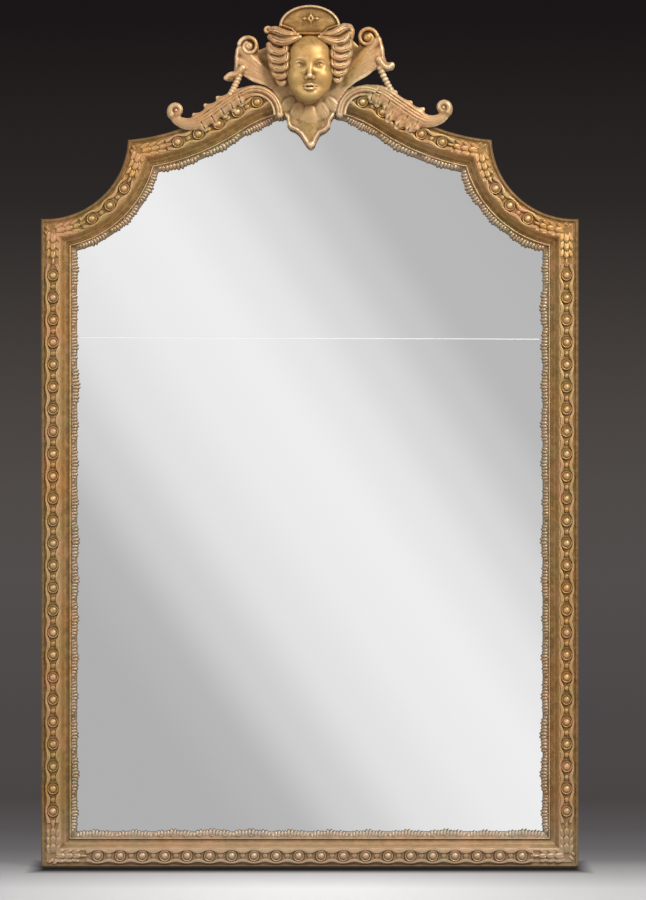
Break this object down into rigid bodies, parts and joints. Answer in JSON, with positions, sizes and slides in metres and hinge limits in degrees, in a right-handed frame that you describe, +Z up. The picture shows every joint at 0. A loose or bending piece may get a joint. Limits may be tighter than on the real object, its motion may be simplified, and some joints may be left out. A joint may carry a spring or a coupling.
{
  "type": "overmantel mirror",
  "caption": "Tall gilt-wood overmantel mirror with hollowed shoulders and an arched head, coin-and-ribbon moulding, carved sight edge, two-plate glass, mask crest and rear hanging rings.",
  "frame": {"origin": "middle of the underside of the bottom rail, at half the moulding's depth", "axes": "+X to the right as seen from the front, -Y towards the viewer (the mirror's face), +Z up"},
  "size_m": [1.14, 0.1369, 1.8267],
  "materials": {
    "gilt_wood": "water gilding over red bole and gesso on carved wood, rubbed on the high points, dark in the recesses",
    "bare_wood": "unfinished aged pine, planed, darkened with dust",
    "mirror_glass": "old silvered plate glass, clear and very slightly grey",
    "iron": "hand-forged iron, dark brown-black, dull"
  },
  "bodies": {
    "frame": {"left_stile": "gilt_wood", "right_stile": "gilt_wood", "bottom_rail": "gilt_wood", "left_shoulder": "gilt_wood", "right_shoulder": "gilt_wood", "left_arch": "gilt_wood", "right_arch": "gilt_wood", "left_stile_slip": "gilt_wood", "right_stile_slip": "gilt_wood", "bottom_slip": "gilt_wood", "left_shoulder_slip": "gilt_wood", "right_shoulder_slip": "gilt_wood", "left_arch_slip": "gilt_wood", "right_arch_slip": "gilt_wood", "mitre_keys": "bare_wood", "upper_plate": "mirror_glass", "lower_plate": "mirror_glass", "joint_batten": "bare_wood", "glazing_blocks": "bare_wood", "backboard_1": "bare_wood", "backboard_2": "bare_wood", "backboard_3": "bare_wood", "backboard_4": "bare_wood", "backboard_5": "bare_wood", "backboard_6": "bare_wood", "backboard_7": "bare_wood", "backboard_screws": "iron", "crest_board": "gilt_wood", "mask": "gilt_wood", "diadem": "gilt_wood", "left_arm": "gilt_wood", "right_arm": "gilt_wood", "crest_batten": "bare_wood", "crest_screws": "iron", "left_strap": "iron", "right_strap": "iron", "strap_screws": "iron"},
    "left_ring": {"left_ring": "iron"},
    "right_ring": {"right_ring": "iron"}
  },
  "joints": [
    {"name": "left_ring_swing", "type": "hinge", "parent": "frame", "child": "left_ring", "pos_m": [-0.543, 0.03738, 1.18], "axis": [1, 0, 0], "range_deg": [0, 175]},
    {"name": "right_ring_swing", "type": "hinge", "parent": "frame", "child": "right_ring", "pos_m": [0.543, 0.03738, 1.18], "axis": [1, 0, 0], "range_deg": [0, 175]}
  ]
}
